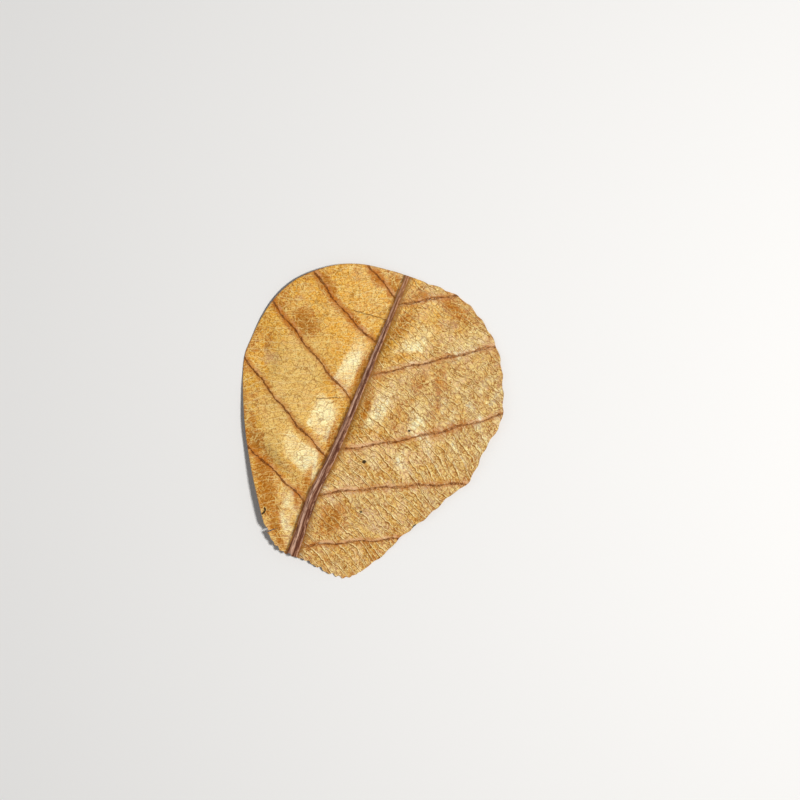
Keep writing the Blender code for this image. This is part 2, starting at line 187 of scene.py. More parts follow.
# Stains and pale patches on the upper face: middle, half length, half width, turn of the length
# and strength
AMBER_STAINS = [
    (-29.0, 23.1, 4.5, 3.6, 150, 1.4), (-27.5, 37.3, 7.5, 2.2, 144, 1.4),
    (-15.5, 30.2, 6.0, 1.8, 160, 1.1), (-12.5, 45.9, 4.5, 2.2, 155, 1.1),
    (-6.6, 45.9, 4.5, 2.6, 100, 1.0), (-38.5, 24.5, 3.5, 1.8, 150, 1.2),
    (-32.0, 20.0, 6.0, 1.7, 153, 1.0), (-29.5, -19.5, 5.0, 3.0, 125, 1.3),
    (-22.8, -27.5, 6.0, 2.8, 118, 1.5), (-18.5, -34.0, 6.5, 3.0, 118, 1.5),
    (-12.5, -42.0, 4.5, 2.0, 112, 1.1), (-32.0, -14.0, 5.0, 1.5, 120, 0.8),
    (3.9, -33.3, 6.5, 4.0, 80, 1.25), (3.3, 45.9, 4.5, 2.5, 40, 0.9),
    (13.5, 19.5, 5.0, 3.5, 60, 0.7), (11.0, 6.5, 8.0, 2.0, 82, 0.5),
    (22.0, 12.5, 8.0, 2.5, 100, 0.5), (-5.8, 15.0, 8.0, 1.3, 88, 1.0),
    (-6.4, -9.0, 8.0, 1.3, 94, 0.9), (-8.3, -25.0, 7.0, 1.4, 96, 1.0),
    (0.6, 4.5, 7.0, 1.3, 95, 0.9), (-38.0, 13.0, 5.0, 1.6, 95, 0.6),
    (-9.5, -31.0, 5.0, 1.6, 110, 0.9), (14.5, 46.0, 7.0, 2.5, 165, 0.9),
    (1.2, 35.5, 7.0, 1.8, 76, 0.8), (19.5, 22.0, 6.0, 2.6, 110, 0.8),
    (-9.1, -46.4, 2.9, 0.9, 139, 1.5),
]
GREY_STAINS = [(-35.2, 8.3, 3.2, 2.6, 0, 0.9), (15.0, 40.1, 3.6, 2.6, 0, 0.8),
               (17.3, -28.4, 5.5, 4.0, 0, 1.0), (7.7, 36.3, 1.2, 1.2, 0, 0.8),
               (-33.0, 29.5, 2.5, 2.0, 0, 0.5)]
# Some pale patches, on the lit flanks of the right half's ridges, are painted highlights; the
# rest are paler ground
PALE_PATCHES_AND_PAINTED_HIGHLIGHTS = [(-24.0, 1.0, 26.0, 11.0, 98, 1.2), (28.0, 22.0, 14.0, 7.0, 90, 0.4),
                (-23.5, -14.0, 12.0, 6.0, 120, 1.2), (18.0, -33.0, 6.0, 4.0, 0, 0.8),
                (-10.5, -26.5, 6.0, 3.8, 100, 1.3), (2.5, 24.0, 7.0, 3.0, 80, 0.6),
                (8.0, 33.0, 8.0, 3.6, 75, 0.9), (22.5, 37.5, 7.0, 3.2, 80, 0.8),
                (17.7, 9.0, 7.0, 2.4, 100, 1.2), (3.4, 6.0, 8.0, 2.2, 85, 1.1),
                (-7.6, -44.4, 3.0, 1.0, 129, 1.4)]

# Dark spots in the same form, the last two of which make a hooked crack, and a small ring
DARK_SPOTS = [(6.6, -12.0, 0.8, 0.7, 20, 1.0), (16.4, 3.1, 0.5, 0.5, 0, 0.9),
              (12.0, -27.7, 0.8, 0.8, 0, 0.6), (30.2, -25.4, 1.0, 0.6, 60, 1.0),
              (-17.5, -38.7, 0.8, 0.35, 124, 1.3), (-17.5, -40.0, 1.0, 0.35, 65, 1.3)]
RING_MIDDLE = (21.2, 16.5)
RING_RADIUS = 0.8

# Sizes of the patterns in the material, their stretch along the rungs and their fine relief.
# Pairs are for the left and the right half. Those of a warp or a sway are its size and how far
# it goes.
MOTTLE_SIZE = 2.6
BLOTCH_SIZE = 6.0
TAN_DRIFT = 14.0
WIDE_PATCH = 7.5
WIDE_WARP = (3.0, 1.2)
SMALL_PATCH = 1.8
SMALL_WARP = (1.5, 0.5)
AMBER_RIM = 9.0
FINE_STRETCH = 1.3
GRAIN_SIZE = 0.38
GRAIN_RISE = 0.002
SQUIGGLE_SIZE = 1.5
SQUIGGLE_WARP = (0.9, 0.3)
SQUIGGLE_WIDTH = 0.085
HAIR_CELL = 1.55
HAIR_WARP = (2.0, 0.6)
HAIR_RISE = 0.005
NET_CELL = 2.3
NET_WARP = (3.0, 0.9)
NET_STRETCH = 0.7
NET_RISES = (0.006, 0.03)
LINE_BREAKS = 3.0
RUNG_STRETCH = 2.5
RUNG_SWAY_WIDE = (6.0, 1.2)
RUNG_JITTER_SIZE = 1.5
RUNG_JITTERS = (0.32, 0.25)
RUNG_BREAKS = 2.4
RUNG_LINE_WIDTH = 0.075
FINER_RUNGS = 2.6
FINER_BREAKS = 1.6
FINER_LINE_WIDTH = 0.14
CREST_RISES = (0.02, 0.08)
CORD_SWAY = (2.0, 1.6)
CORD_SPLIT = 0.32
CORD_RISE = 0.05
KNOT_SIZE = 1.2
RIB_WANDER = (4.0, 0.5)
FIBRE_SIZE = 0.5
FIBRE_ALONG = 0.07
STREAK_ALONG = 0.2
FIBRE_RISE = 0.1
LINE_CORE_SHARE = 0.2

# Waxy gloss of the upper face. The plain shine stands in where its variation isn't read, and
# the tint takes red out of what the face mirrors.
WAX_ROUGHNESS = (0.35, 0.37)
WAX_SHINE = (0.31, 0.36)
PLAIN_SHINE = 0.3
WAX_IOR = 1.75
WAX_TINT = (0.38, 0.97, 0.92, 1.0)

# Floor, lamps and the nearest that the camera sees, in metres and watts
WHITE = (1.0, 1.0, 1.0, 1.0)
FLOOR_HALF = 1.5
FLOOR_DROP = 0.00002
FLOOR_COLOUR = (0.82, 0.82, 0.82, 1.0)
FLOOR_ROUGHNESS = 0.7
KEY_AZIMUTH = 22.0
KEY_ELEVATION = 64.0
KEY_DISTANCE = 0.9
KEY_SIZE = 0.12
KEY_POWER = 7.2
KEY_COLOUR = (1.0, 0.98, 0.95)
FILL_PLACE = (-0.7, -0.3, 0.8)
FILL_SIZE = 0.9
FILL_POWER = 0.8
FILL_COLOUR = (0.95, 0.98, 1.0)
SKY_STRENGTH = 0.2
NEAREST_SEEN = 0.01

# Camera: what it looks at, which way is up in its picture, how far away it is and how much of
# the surface it sees
VIEW_CENTRE = (9.8, 11.3, 4.0)
VIEW_UP = (-0.3816, 0.9243)
CAMERA_DISTANCE = 480.0
VIEW_WIDTH = 263.0
SENSOR = 36.0


def smooth_step(share):
    """0 below 0, 1 above 1 and a smooth rise between."""
    share = np.clip(share, 0.0, 1.0)
    return share * share * (3.0 - 2.0 * share)


def smooth_loop(points, steps):
    """Points close together on a smooth closed curve through the given ones."""
    before, after = np.roll(points, 1, axis=0), np.roll(points, -1, axis=0)
    beyond = np.roll(points, -2, axis=0)
    rows = []
    for t in np.arange(steps) / steps:
        bend = 2 * before - 5 * points + 4 * after - beyond
        twist = 3 * points - before - 3 * after + beyond
        rows.append(0.5 * (2 * points + (after - before) * t + bend * t**2 + twist * t**3))
    return np.stack(rows, axis=1).reshape(-1, 2)


OUTLINE_CURVE = smooth_loop(np.array(OUTLINE) * (LEAF_WIDTH / 2, LEAF_LENGTH / 2), CURVE_STEPS)


def edge_reach(x, y):
    """How far out each point lies: 0 at the origin and 1 at the outline."""
    angles = np.arctan2(OUTLINE_CURVE[:, 1], OUTLINE_CURVE[:, 0])
    order = np.argsort(angles)
    radii = np.hypot(OUTLINE_CURVE[:, 0], OUTLINE_CURVE[:, 1])
    edge = np.interp(np.arctan2(y, x), angles[order], radii[order], period=2 * np.pi)
    return np.hypot(x, y) / edge


def edge_distance(x, y):
    """How far in from the outline each point lies. The least reach stands in at the origin."""
    reach = edge_reach(x, y)
    radius = np.hypot(x, y) / np.maximum(reach, LEAST_REACH)
    return (1 - reach) * radius


def edge_loop():
    """The leaf's edge as points in order, with its waves, torn teeth, raggedness and slit."""
    closed = np.vstack([OUTLINE_CURVE, OUTLINE_CURVE[:1]])
    arcs = np.concatenate([[0.0], np.cumsum(np.hypot(*np.diff(closed, axis=0).T))])
    stations = [0.0]
    while stations[-1] < arcs[-1]:
        torn = np.interp(stations[-1], arcs, closed[:, 1]) < TORN_BELOW_Y
        stations.append(stations[-1] + (TOOTH_SPACING if torn else EDGE_SPACING))
    stations = np.array(stations[:-1]) * arcs[-1] / stations[-1]
    x = np.interp(stations, arcs, closed[:, 0])
    y = np.interp(stations, arcs, closed[:, 1])
    inward = np.stack([-x, -y], axis=1) / np.hypot(x, y)[:, None]
    wave = EDGE_WAVE * (1 + np.sin(2 * np.pi * stations / EDGE_WAVE_LENGTH)) * (x > 0)
    chance = np.random.default_rng(TOOTH_SEED)
    teeth = TOOTH_DEPTH * chance.uniform(0.0, 1.0, len(x)) * (np.arange(len(x)) % 2)
    inset = np.where(y < TORN_BELOW_Y, teeth, wave)
    coarse = np.stack([x, y], axis=1) + inward * inset[:, None]
    fine = smooth_loop(coarse, EDGE_STEPS)
    ragged = np.where(fine[:, 1] < TORN_BELOW_Y, RAGGED_TEAR, RAGGED_EDGE)
    fine *= 1 - (ragged * chance.uniform(0.0, 1.0, len(fine)) / np.hypot(*fine.T))[:, None]
    return cut_slit(fine)


def cut_slit(loop):
    """Puts the slit's two lips into the edge in place of the points at its mouth."""
    mouth, end = np.array(SLIT_MOUTH), np.array(SLIT_END)
    near = np.hypot(*(loop - mouth).T) < SLIT_WIDTH / 2 + LINE_SPACING
    first = int(np.argmax(near))
    length = np.hypot(*(end - mouth))
    along = (end - mouth) / length
    lip = np.array([-along[1], along[0]]) * SLIT_WIDTH / 2
    share = np.linspace(0.0, 1.0, int(length / LINE_SPACING))[:, None]
    inward = (mouth - lip) * (1 - share) + end * share
    outward = end * (1 - share) + (mouth + lip) * share
    lips = np.vstack([inward, outward[1:]])
    return np.vstack([loop[:first][~near[:first]], lips, loop[first:][~near[first:]]])


def rib_centre(y):
    """Sideways place of the midrib."""
    return RIB_X - RIB_SWAY * np.exp(-(((y - RIB_SWAY_Y) / RIB_SWAY_REACH) ** 2))


def from_base_to_tip(y, at_base, at_tip):
    """A size that changes evenly along the leaf."""
    share = np.clip(0.5 + y / LEAF_LENGTH, 0.0, 1.0)
    return at_base + (at_tip - at_base) * share


def rib_half_width(y):
    return from_base_to_tip(y, *RIB_HALF_WIDTHS)


def rib_share(x, y):
    """Distance from the midrib's middle in half widths of the midrib, negative to its left."""
    return (x - rib_centre(y)) / rib_half_width(y)


def rib_gap(x, y):
    """Distance from the midrib's foot, negative on the midrib."""
    return (np.abs(rib_share(x, y)) - 1) * rib_half_width(y)


def vein_y(vein, out):
    """Place along the leaf of a side vein, at a distance out from the midrib's line."""
    start, slope, bend = vein
    wave = VEIN_WAVE * np.sin(2 * np.pi * out / VEIN_WAVE_LENGTH + start)
    return start + slope * out + bend * out**2 + wave


def panel_place(x, y):
    """How far out and how many side veins up each point lies, in parts of a panel."""
    out = np.abs(x - RIB_X)
    panel = np.zeros_like(out)
    for side, veins in VEINS_OF_HALVES:
        here = (x > RIB_X) == (side > 0)
        for number in range(len(veins) - 1):
            low, high = vein_y(veins[number], out), vein_y(veins[number + 1], out)
            inside = here & (y >= low) & (y < high)
            panel = np.where(inside, number + (y - low) / (high - low), panel)
    return out, panel


def signed_vein_distance(x, y):
    """Distance to the nearest side vein, negative on its side towards the base."""
    out = np.abs(x - RIB_X)
    nearest = np.full_like(out, LEAF_LENGTH)
    for side, veins in VEINS_OF_HALVES:
        here = (x > RIB_X) == (side > 0)
        for vein in veins[1:-1]:
            lean = np.hypot(1.0, vein[1] + 2 * vein[2] * out)
            gap = (y - vein_y(vein, out)) / lean
            nearest = np.where(here & (np.abs(gap) < np.abs(nearest)), gap, nearest)
    return nearest


def vein_distance(x, y):
    """Distance to the nearest side vein."""
    return np.abs(signed_vein_distance(x, y))


def minor_distance(x, y):
    """Distance to the nearest minor vein, negative on its lower side."""
    nearest = np.full_like(x, LEAF_LENGTH)
    for (start_x, start_y), (end_x, end_y) in MINOR_VEINS:
        run_x, run_y = end_x - start_x, end_y - start_y
        share = ((x - start_x) * run_x + (y - start_y) * run_y) / (run_x**2 + run_y**2)
        share = np.clip(share, 0.0, 1.0)
        gap = np.hypot(x - start_x - share * run_x, y - start_y - share * run_y)
        gap *= np.where(y < start_y + share * run_y, -1.0, 1.0)
        nearest = np.where(np.abs(gap) < np.abs(nearest), gap, nearest)
    return nearest


def edge_height(x, y):
    """Height of the edge in each point's direction from the origin."""
    directions = np.array([direction for direction, _ in EDGE_HEIGHTS], dtype=float)
    heights = np.array([height for _, height in EDGE_HEIGHTS])
    turned = np.degrees(np.arctan2(y, x))
    turned = np.where(turned < directions[0], turned + 360, turned)
    after = np.searchsorted(directions, turned, side="right") % len(directions)
    before = after - 1
    span = (directions[after] - directions[before]) % 360
    share = smooth_step((turned - directions[before]) / span)
    return heights[before] + (heights[after] - heights[before]) * share


def foot_share(x, y):
    """1 on the spots that the leaf rests on, falling to 0 round them."""
    flat = np.zeros_like(x)
    for foot_x, foot_y in FEET:
        gap = np.hypot(x - foot_x, y - foot_y)
        flat = np.maximum(flat, 1 - smooth_step((gap - FOOT_RADIUS) / FOOT_BLEND))
    return flat


def oval_reach(x, y, middle_x, middle_y, length, width, turn):
    """Distance from the middle of a turned oval, 1 at its outline."""
    turn = math.radians(turn)
    run = (x - middle_x) * math.cos(turn) + (y - middle_y) * math.sin(turn)
    side = (y - middle_y) * math.cos(turn) - (x - middle_x) * math.sin(turn)
    return np.hypot(run / length, side / width)


def ridges(x, y):
    """Height that the ridges add: an even steep flank, an even gentle back and faded ends."""
    height = np.zeros_like(x)
    for middle_x, middle_y, length, width, turn, rise in RIDGES:
        turn = math.radians(turn)
        run = y - middle_y - RIDGE_END_LEAN * (np.abs(x - RIB_X) - np.abs(middle_x - RIB_X))
        side = (x - middle_x) * math.sin(turn) - (y - middle_y) * math.cos(turn)
        down = side / width + 0.5
        flank = np.sqrt(np.clip(down, 0.0, None) ** 2 + RIDGE_ROUNDING**2)
        back = np.clip(-down, 0.0, None) / RIDGE_BACK
        tent = 1 + RIDGE_ROUNDING - flank - back
        tent = (tent + np.sqrt(tent**2 + RIDGE_ROUNDING**2)) / 2
        tent *= smooth_step((1 + run / length) / RIDGE_START)
        tent *= smooth_step((RIDGE_FADE_END - run / length) / RIDGE_FADE)
        height += rise * tent * ((x > RIB_X) == (middle_x > RIB_X))
    return height


def blade_height(x, y):
    """Height of the blade without its ribs: a dome, its ridges and a bulge in each panel."""
    out, panel = panel_place(x, y)
    dome = np.clip(edge_reach(x, y), 0.0, 1.0) ** DOME_POWER
    height = MIDDLE_HEIGHT * (1 - dome) + edge_height(x, y) * dome
    off_rib = 1 - np.exp(-((out / PANEL_BULGE_START) ** 2))
    across = panel % 1.0
    height += PANEL_BULGE * 4 * across * (1 - across) * (1 - PANEL_BULGE_LOSS * dome) * off_rib
    height += ridges(x, y) * (1 - dome**2) * off_rib
    bank = np.where(x < RIB_X, *RIB_BANK_REACHES)
    height += RIB_BANK * np.exp(-((out / bank) ** 2)) * (1 - dome)
    return np.maximum(height, 0.0) * (1 - foot_share(x, y))


def crumple(x, y):
    """Small irregular waves of the dried blade, stronger towards the right of its base."""
    lean = math.radians(CRUMPLE_TURN)
    place = (x * math.cos(lean) + y * math.sin(lean)) / CRUMPLE_REACH
    strength = CRUMPLE_LEAST + (1 - CRUMPLE_LEAST) * smooth_step(place + 0.5)
    chance = np.random.default_rng(CRUMPLE_SEED)
    height = np.zeros_like(x)
    for length, rise in CRUMPLE_WAVES:
        for turn, shift in chance.uniform(0.0, 2 * np.pi, (CRUMPLE_DIRECTIONS, 2)):
            run = x * np.cos(turn) + y * np.sin(turn)
            height += rise / CRUMPLE_DIRECTIONS * np.sin(2 * np.pi * run / length + shift)
    return height * strength


def vein_start(x, y):
    """Where a line through each point that runs like the side veins leaves the midrib."""
    _, panel = panel_place(x, y)
    lower = np.floor(panel).astype(int)
    starts = np.zeros_like(x)
    for side, veins in VEINS_OF_HALVES:
        here = (x > RIB_X) == (side > 0)
        known = np.array([vein[0] for vein in veins])
        number = np.clip(lower, 0, len(veins) - 2)
        start = known[number] + (known[number + 1] - known[number]) * (panel - number)
        starts = np.where(here, start, starts)
    return starts


def rung_place(x, y):
    """Place across the rungs that cross the panels: each whole number is the middle of one."""
    long, short = RUNG_SWAY_LENGTHS
    sway = np.sin(y / long + x / short) + np.sin(x / long - y / short)
    slanted = np.abs(x - RIB_X) + RUNG_SLANT * vein_start(x, y) + RUNG_SWAY * sway
    return slanted / RUNG_SPACING


def rung_distance(x, y):
    """Distance to the middle of the nearest rung."""
    place = rung_place(x, y)
    return np.abs(place - np.round(place)) * RUNG_SPACING


def rib_profile(x, y):
    """1 on the midrib's two crests, lower in the furrow between them and 0 at its feet."""
    share = rib_share(x, y)
    furrow = RIB_FURROW * np.exp(-((share / RIB_FURROW_REACH) ** 2))
    return np.clip(1 - share**2, 0.0, 1.0) ** RIB_SHARPNESS * (1 - furrow)


def vein_profile(x, y):
    """1 on a side vein's crest and 0 at its feet, less towards the edge."""
    on_blade = np.clip(rib_gap(x, y) / VEIN_HALF_WIDTH + 1, 0.0, 1.0)
    thinner = 1 - VEIN_THINNING * np.clip(2 * np.abs(x - RIB_X) / LEAF_WIDTH, 0.0, 1.0)
    share = np.clip(vein_distance(x, y) / VEIN_HALF_WIDTH, 0.0, 1.0)
    return (1 - share**2) ** 2 * on_blade * thinner


def top_relief(x, y):
    """Height of the midrib, the side veins and the rungs over the blade."""
    rise = from_base_to_tip(y, *RIB_RISES)
    clear = np.minimum(vein_distance(x, y) - VEIN_HALF_WIDTH, rib_gap(x, y))
    rungs = np.clip(1 - (rung_distance(x, y) / RUNG_HALF_WIDTH) ** 2, 0.0, 1.0)
    rungs *= np.where(x < RIB_X, *RUNG_HEIGHTS) * np.clip(clear, 0.0, 1.0)
    return rise * rib_profile(x, y) + VEIN_RISE * vein_profile(x, y) + rungs


def under_relief(x, y):
    """How far the midrib and the side veins stand out below the blade."""
    depth = from_base_to_tip(y, *RIB_DEPTHS)
    rib = depth * np.sqrt(np.clip(1 - rib_share(x, y) ** 2, 0.0, 1.0))
    return np.maximum(rib, VEIN_DEPTH * vein_profile(x, y))


def leaf_heights(x, y):
    """Heights of the upper and the lower face over each point of the outline's plane."""
    blade = np.maximum(blade_height(x, y) + crumple(x, y) * (1 - foot_share(x, y)), 0.0)
    under = np.maximum(blade - under_relief(x, y), 0.0)
    return blade + BLADE_THICKNESS + top_relief(x, y), under


def rib_lines(spacing):
    """Lines along the midrib's feet, crests and furrow."""
    y = np.arange(-LEAF_LENGTH / 2, LEAF_LENGTH / 2, spacing)
    half = rib_half_width(y)
    return [np.stack([rib_centre(y) + share * half, y], axis=1) for share in RIB_LINES]


def vein_lines(spacing):
    """Lines along each side vein's crest and flanks."""
    lines = []
    out = np.arange(0.0, LEAF_WIDTH, spacing)
    for side, veins in VEINS_OF_HALVES:
        for vein in veins[1:-1]:
            for share in VEIN_LINES:
                y = vein_y(vein, out) + share * VEIN_HALF_WIDTH * np.hypot(1.0, vein[1])
                line = np.stack([RIB_X + side * out, y], axis=1)
                lines.append(line[rib_gap(*line.T) > LINE_GAP])
    return lines


def fill_points(spacing):
    """An even triangular lattice over the leaf, clear of the midrib's and the veins' lines."""
    rows = np.arange(-LEAF_LENGTH / 2, LEAF_LENGTH / 2, spacing * math.sqrt(3) / 2)
    columns = np.arange(-LEAF_WIDTH / 2, LEAF_WIDTH / 2, spacing)
    x, y = np.meshgrid(columns, rows)
    x = (x + spacing / 2 * (np.arange(len(rows)) % 2)[:, None]).ravel()
    y = y.ravel()
    kept = (rib_gap(x, y) > LINE_GAP) & (vein_distance(x, y) > VEIN_HALF_WIDTH + LINE_GAP)
    return np.stack([x, y], axis=1)[kept]


def inside_edge(points, gap):
    """The points that are clear of the leaf's edge by the gap."""
    tear = np.where(points[:, 1] < TORN_BELOW_Y + 1, TOOTH_DEPTH, EDGE_WAVE)
    slit = np.hypot(*(points - SLIT_MOUTH).T) + np.hypot(*(points - SLIT_END).T)
    slit_length = np.hypot(*np.subtract(SLIT_END, SLIT_MOUTH))
    inside = edge_distance(*points.T) > gap + tear
    return points[inside & (slit > slit_length + gap)]


def sheet(loop, spacing):
    """One face of the leaf in its plane: points and triangles between the loop's points."""
    parts = [loop]
    edges = []
    count = len(loop)
    for line in rib_lines(LINE_SPACING) + vein_lines(LINE_SPACING):
        line = inside_edge(line, LINE_GAP)
        numbers = count + np.arange(len(line))
        steps = np.hypot(*np.diff(line, axis=0).T) < 2 * LINE_SPACING
        edges += [(a, a + 1) for a in numbers[:-1][steps].tolist()]
        parts.append(line)
        count += len(line)
    parts.append(inside_edge(fill_points(spacing), spacing / 2))
    verts = [Vector(point) for point in np.vstack(parts)]
    rim = [list(range(len(loop)))]
    joined = delaunay_2d_cdt(verts, edges, rim, TRIANGLES_INSIDE, SAME_POINT)
    plan = np.array([tuple(point) for point in joined[0]])
    used, faces = np.unique(np.array(joined[2]), return_inverse=True)
    return plan[used], faces.reshape(-1, 3)


def rim_steps(faces):
    """The edges that only one triangle has, in that triangle's direction."""
    steps = np.vstack([faces[:, [0, 1]], faces[:, [1, 2]], faces[:, [2, 0]]])
    known = {tuple(step) for step in steps.tolist()}
    return [step for step in known if (step[1], step[0]) not in known]


def stain(x, y, places):
    """How strongly oval stains cover each point."""
    cover = np.zeros_like(x)
    for *shape, strength in places:
        cover = np.maximum(cover, strength * np.exp(-(oval_reach(x, y, *shape) ** 2)))
    return cover


def measures(x, y):
    """What the material reads on each point, in millimetres or as shares."""
    beside = signed_vein_distance(x, y)
    off_ring = np.hypot(x - RING_MIDDLE[0], y - RING_MIDDLE[1]) - RING_RADIUS
    return {
        "rib_side": x - rib_centre(y),
        "rib_gap": rib_gap(x, y),
        "along": y,
        "vein": np.abs(beside),
        "vein_side": np.sign(beside),
        "minor": minor_distance(x, y),
        "rung": rung_place(x, y),
        "edge": edge_distance(x, y),
        "amber": stain(x, y, AMBER_STAINS),
        "grey": stain(x, y, GREY_STAINS),
        "pale": stain(x, y, PALE_PATCHES_AND_PAINTED_HIGHLIGHTS),
        "spot": stain(x, y, DARK_SPOTS),
        "ring": np.abs(off_ring),
    }


def grain_places(x, y):
    """Place of each point along and across the rungs, far apart for the two halves."""
    out = np.abs(x - RIB_X)
    turn = math.radians(GRAIN_TURN)
    along = out * math.cos(turn) + y * math.sin(turn)
    across = y * math.cos(turn) - out * math.sin(turn)
    return np.stack([along, across, LEAF_LENGTH * (x > RIB_X)], axis=1)


def add_measures(mesh, plan, under):
    """Stores on each point what the material reads."""
    for name, values in {**measures(*plan.T), "under": under}.items():
        attribute = mesh.attributes.new(name, "FLOAT", "POINT")
        attribute.data.foreach_set("value", values.astype(np.float32))
    attribute = mesh.attributes.new("grain", "FLOAT_VECTOR", "POINT")
    attribute.data.foreach_set("vector", grain_places(*plan.T).ravel().astype(np.float32))


def edge_key(point):
    """A point of the edge, as both faces know it."""
    return tuple(np.round(point, MATCHED_DECIMALS))


def rim_wall(top_plan, top_faces, under_plan):
    """Faces round the leaf's edge, from the upper face's points to the underside's."""
    offset = len(top_plan)
    below = {edge_key(point): offset + number for number, point in enumerate(under_plan)}
    wall = []
    for start, end in sorted(rim_steps(top_faces)):
        low_start, low_end = below[edge_key(top_plan[start])], below[edge_key(top_plan[end])]
        wall.append([end, start, low_start, low_end])
    return wall


def leaf_mesh():
    """Upper face and underside from sheets of their own, joined by a wall round the edge."""
    loop = edge_loop()
    top_plan, top_faces = sheet(loop, TOP_SPACING)
    under_plan, under_faces = sheet(loop, UNDER_SPACING)
    top_z, _ = leaf_heights(*top_plan.T)
    _, under_z = leaf_heights(*under_plan.T)
    plan = np.vstack([top_plan, under_plan])
    verts = np.column_stack([plan, np.concatenate([top_z, under_z])]) * METRES
    faces = top_faces.tolist() + (under_faces[:, ::-1] + len(top_plan)).tolist()
    faces += rim_wall(top_plan, top_faces, under_plan)
    mesh = bpy.data.meshes.new("dried_leaf")
    mesh.from_pydata(verts.tolist(), [], faces)
    add_measures(mesh, plan, np.repeat([0.0, 1.0], [len(top_plan), len(under_plan)]))
    mesh.shade_smooth()
    mesh.set_sharp_from_angle(angle=math.radians(SHARP_ANGLE))
    return mesh


class Nodes:
    """Short names for the nodes that a material is wired from, with lengths in millimetres.

    The height is the fine relief so far, and right is 0 on the left half and 1 on the right one.
    """

    def __init__(self, name):
        self.material = bpy.data.materials.new(name)
        self.material.use_nodes = True
        self.tree = self.material.node_tree
        self.shader = self.tree.nodes["Principled BSDF"]
        self.height = 0.0
        self.right = 0.0

    def add(self, kind, inputs=(), **settings):
        """A node with these settings and inputs, which are values or other nodes' outputs."""
        node = self.tree.nodes.new(kind)
        for name, value in settings.items():
            setattr(node, name, value)
        for socket, value in dict(inputs).items():
            self.feed(node.inputs[socket], value)
        return node

    def feed(self, socket, value):
        if isinstance(value, bpy.types.NodeSocket):
            self.tree.links.new(value, socket)
        else:
            socket.default_value = value

    def measure(self, name):
        return self.add("ShaderNodeAttribute", attribute_name=name).outputs["Fac"]

    def grain(self, stretch=1.0):
        """Place along and across the rungs. Patterns are this many times longer along them."""
        vector = self.add("ShaderNodeAttribute", attribute_name="grain").outputs["Vector"]
        inputs = {"Vector": vector, "Scale": (1.0 / stretch, 1.0, 1.0)}
        return self.add("ShaderNodeMapping", inputs).outputs[0]

    def math(self, operation, *values, clamp=False):
        inputs = dict(enumerate(values))
        return self.add("ShaderNodeMath", inputs, operation=operation, use_clamp=clamp).outputs[0]

    def plus(self, first, second):
        return self.math("ADD", first, second)

    def times(self, first, second):
        return self.math("MULTIPLY", first, second)

    def largest(self, first, *others):
        for other in others:
            first = self.math("MAXIMUM", first, other)
        return first

    def noise(self, vector, size, detail=3.0, roughness=0.55):
        """Soft noise from 0 to 1 with patches of about this size."""
        inputs = {"Vector": vector, "Scale": 1 / size, "Detail": detail, "Roughness": roughness}
        return self.add("ShaderNodeTexNoise", inputs).outputs["Fac"]

    def sway(self, size, amount, detail=3.0, roughness=0.55):
        """Noise of this size round 0, up to half the amount either way."""
        noise = self.noise(self.grain(), size, detail, roughness)
        return self.times(self.plus(noise, -0.5), amount)

    def net(self, vector, size):
        """Distance to the nearest line of an irregular net, in parts of a cell."""
        inputs = {"Vector": vector, "Scale": 1 / size}
        return self.add("ShaderNodeTexVoronoi", inputs, feature="DISTANCE_TO_EDGE").outputs[0]

    def fade(self, value, low, high, at_low=0.0, at_high=1.0):
        """Smoothly from one value to another while the measure goes from low to high."""
        inputs = {"Value": value, "From Min": low, "From Max": high, "To Min": at_low,
                  "To Max": at_high}
        node = self.add("ShaderNodeMapRange", inputs, interpolation_type="SMOOTHSTEP")
        return node.outputs["Result"]

    def halves(self, on_left, on_right):
        """One value on the left half of the leaf and another on the right half."""
        return self.fade(self.right, 0.0, 1.0, on_left, on_right)

    def mix(self, share, first, second):
        """A colour between two."""
        node = self.add("ShaderNodeMix", data_type="RGBA")
        for socket, value in zip((node.inputs[0], node.inputs[6], node.inputs[7]),
                                 (share, first, second)):
            self.feed(socket, value)
        return node.outputs[2]

    def warp(self, vector, size, amount):
        """The place, pushed about by noise of this size by up to this much."""
        inputs = {"Vector": vector, "Scale": 1 / size, "Detail": 2.0}
        colour = self.add("ShaderNodeTexNoise", inputs).outputs["Color"]
        push = self.add("ShaderNodeVectorMath", {0: colour, 1: (0.5, 0.5, 0.5)},
                        operation="SUBTRACT").outputs[0]
        scaled = self.add("ShaderNodeVectorMath", {0: push, 3: 2 * amount},
                          operation="SCALE").outputs[0]
        return self.add("ShaderNodeVectorMath", {0: vector, 1: scaled}).outputs[0]

    def line(self, value, middle, width):
        """1 where the measure is at the middle and 0 past the width from it."""
        off = self.math("ABSOLUTE", self.plus(value, -middle))
        return self.fade(off, width, width * LINE_CORE_SHARE)

    def raise_by(self, amount):
        """Adds to the fine relief, in millimetres."""
        self.height = self.plus(self.height, amount)


def rgb(red, green, blue):
    """A colour as a screen shows it, 0 to 255, turned into linear light."""
    shares = [channel / 255 for channel in (red, green, blue)]
    return (*(((s + 0.055) / 1.055) ** 2.4 if s > 0.04 else s / 12.92 for s in shares), 1.0)


# Colours of the ground and its stains
GOLD = rgb(238, 162, 8)
TAN = rgb(200, 131, 36)
# Pale ground, which also paints the highlights among the pale patches
PALE_GOLD = rgb(250, 206, 122)
PALE_TAN = rgb(234, 186, 108)
PINK_PATCH = rgb(228, 176, 124)
BROWN_PATCH = rgb(180, 110, 26)
PINK_FLECK = rgb(232, 182, 122)
BROWN_FLECK = rgb(166, 100, 36)
OCHRE_MOTTLE = rgb(190, 122, 20)
YELLOW_MOTTLE = rgb(238, 186, 62)
AMBER = rgb(188, 104, 4)
DARK_AMBER = rgb(162, 92, 10)
GREY_STAIN = rgb(204, 158, 130)

